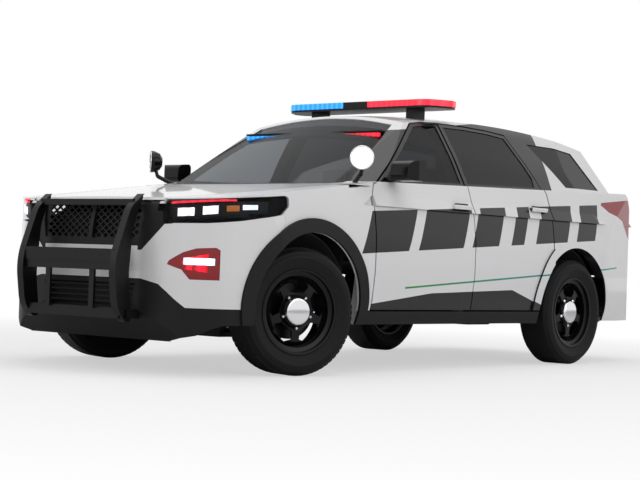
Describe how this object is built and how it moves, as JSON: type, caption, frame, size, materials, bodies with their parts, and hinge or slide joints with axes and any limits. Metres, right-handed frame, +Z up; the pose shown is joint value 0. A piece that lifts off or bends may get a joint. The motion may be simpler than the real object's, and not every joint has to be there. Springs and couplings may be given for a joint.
{
  "type": "police sport utility vehicle",
  "caption": "Police sport utility vehicle with push bumper, roof light bar and spot lamps; its doors, hood and tailgate open, its front wheels steer and its wheels roll.",
  "frame": {"origin": "on the ground under the middle of the vehicle, measured over the push bumper and the mirrors", "axes": "+X forward along the vehicle, +Y to its left, +Z up"},
  "size_m": [5.2316, 2.268, 1.8319],
  "materials": {
    "white_paint": "clear-coated white",
    "black_plastic": "grained black",
    "black_coated_steel": "textured black powder coat",
    "tinted_glass": "dark tint",
    "lamp_clear": "clear lens",
    "lamp_red": "red lens",
    "lamp_blue": "blue lens",
    "bright_metal": "bright",
    "tyre_rubber": "black rubber",
    "black_wheel_steel": "satin black",
    "cast_parts": "as cast",
    "chassis_steel": "black dip coat",
    "underbody_paint": "dark coat",
    "dash_plastic": "soft grained black",
    "seat_fabric": "black woven cloth"
  },
  "bodies": {
    "chassis": {"body_side_left": "white_paint", "body_side_right": "white_paint", "bumper_warning_lamp_left": "lamp_red", "bumper_warning_lamp_right": "lamp_red", "cowl_panel": "black_plastic", "dashboard": "dash_plastic", "drivetrain": "cast_parts", "floor_pan": "underbody_paint", "front_bumper": "white_paint", "front_fender_left": "white_paint", "front_fender_right": "white_paint", "front_lower_fascia": "black_plastic", "front_seat_left": "seat_fabric", "front_seat_right": "seat_fabric", "front_structure": "chassis_steel", "grille": "black_plastic", "headlamp_left": "lamp_clear", "headlamp_right": "lamp_clear", "light_bar_base": "black_plastic", "light_bar_lens_blue": "lamp_blue", "light_bar_lens_red": "lamp_red", "push_bumper": "black_coated_steel", "quarter_glass_left": "tinted_glass", "quarter_glass_right": "tinted_glass", "rear_bench": "seat_fabric", "rear_bumper": "white_paint", "rear_suspension": "chassis_steel", "roof_panel": "white_paint", "side_cladding_left": "black_plastic", "side_cladding_right": "black_plastic", "spot_lamp_left": "bright_metal", "spot_lamp_right": "bright_metal", "tail_lamp_left": "lamp_red", "tail_lamp_right": "lamp_red", "windshield": "tinted_glass"},
    "door_front_left_body": {"door_front_left": "white_paint", "glass_front_left": "tinted_glass", "mirror_left": "black_plastic"},
    "door_front_right_body": {"door_front_right": "white_paint", "glass_front_right": "tinted_glass", "mirror_right": "black_plastic"},
    "door_rear_left_body": {"door_rear_left": "white_paint", "glass_rear_left": "tinted_glass"},
    "door_rear_right_body": {"door_rear_right": "white_paint", "glass_rear_right": "tinted_glass"},
    "hood_body": {"hood": "white_paint"},
    "tailgate_body": {"tailgate": "white_paint", "tailgate_glass": "tinted_glass"},
    "knuckle_front_left_body": {"knuckle_front_left": "cast_parts"},
    "knuckle_front_right_body": {"knuckle_front_right": "cast_parts"},
    "wheel_front_left_body": {"tyre_front_left": "tyre_rubber", "wheel_front_left": "black_wheel_steel"},
    "wheel_front_right_body": {"tyre_front_right": "tyre_rubber", "wheel_front_right": "black_wheel_steel"},
    "wheel_rear_left_body": {"tyre_rear_left": "tyre_rubber", "wheel_rear_left": "black_wheel_steel"},
    "wheel_rear_right_body": {"tyre_rear_right": "tyre_rubber", "wheel_rear_right": "black_wheel_steel"}
  },
  "joints": [
    {"name": "door_front_left_hinge", "type": "hinge", "parent": "chassis", "child": "door_front_left_body", "pos_m": [0.862, 0.966, 0.86], "axis": [0, 0.0576, -0.9983], "range_deg": [0, 65]},
    {"name": "door_rear_left_hinge", "type": "hinge", "parent": "chassis", "child": "door_rear_left_body", "pos_m": [-0.2, 0.98, 0.86], "axis": [0, 0.0576, -0.9983], "range_deg": [0, 68]},
    {"name": "door_front_right_hinge", "type": "hinge", "parent": "chassis", "child": "door_front_right_body", "pos_m": [0.862, -0.966, 0.86], "axis": [0, 0.0576, 0.9983], "range_deg": [0, 65]},
    {"name": "door_rear_right_hinge", "type": "hinge", "parent": "chassis", "child": "door_rear_right_body", "pos_m": [-0.2, -0.98, 0.86], "axis": [0, 0.0576, 0.9983], "range_deg": [0, 68]},
    {"name": "hood_hinge", "type": "hinge", "parent": "chassis", "child": "hood_body", "pos_m": [0.987, 0, 1.164], "axis": [0, -1, 0], "range_deg": [0, 45]},
    {"name": "tailgate_hinge", "type": "hinge", "parent": "chassis", "child": "tailgate_body", "pos_m": [-1.998, 0, 1.672], "axis": [0, 1, 0], "range_deg": [0, 82]},
    {"name": "steer_left", "type": "hinge", "parent": "chassis", "child": "knuckle_front_left_body", "pos_m": [1.522, 0.733, 0.384], "axis": [0, -0.28, 0.96], "range_deg": [-17, 53]},
    {"name": "steer_right", "type": "hinge", "parent": "chassis", "child": "knuckle_front_right_body", "pos_m": [1.522, -0.733, 0.384], "axis": [0, 0.28, 0.96], "range_deg": [-17, 53]},
    {"name": "wheel_front_left_spin", "type": "hinge", "parent": "knuckle_front_left_body", "child": "wheel_front_left_body", "pos_m": [1.558, 0.844, 0.383], "axis": [0.309, 0.9511, 0], "continuous": true},
    {"name": "wheel_rear_left_spin", "type": "hinge", "parent": "chassis", "child": "wheel_rear_left_body", "pos_m": [-1.503, 0.85, 0.383], "axis": [0, 1, 0], "continuous": true},
    {"name": "wheel_front_right_spin", "type": "hinge", "parent": "knuckle_front_right_body", "child": "wheel_front_right_body", "pos_m": [1.486, -0.844, 0.383], "axis": [0.309, 0.9511, 0], "continuous": true},
    {"name": "wheel_rear_right_spin", "type": "hinge", "parent": "chassis", "child": "wheel_rear_right_body", "pos_m": [-1.503, -0.85, 0.383], "axis": [0, 1, 0], "continuous": true}
  ],
  "couplings": [
    {"joint": "steer_right", "follows": "steer_left", "ratio": 1}
  ]
}
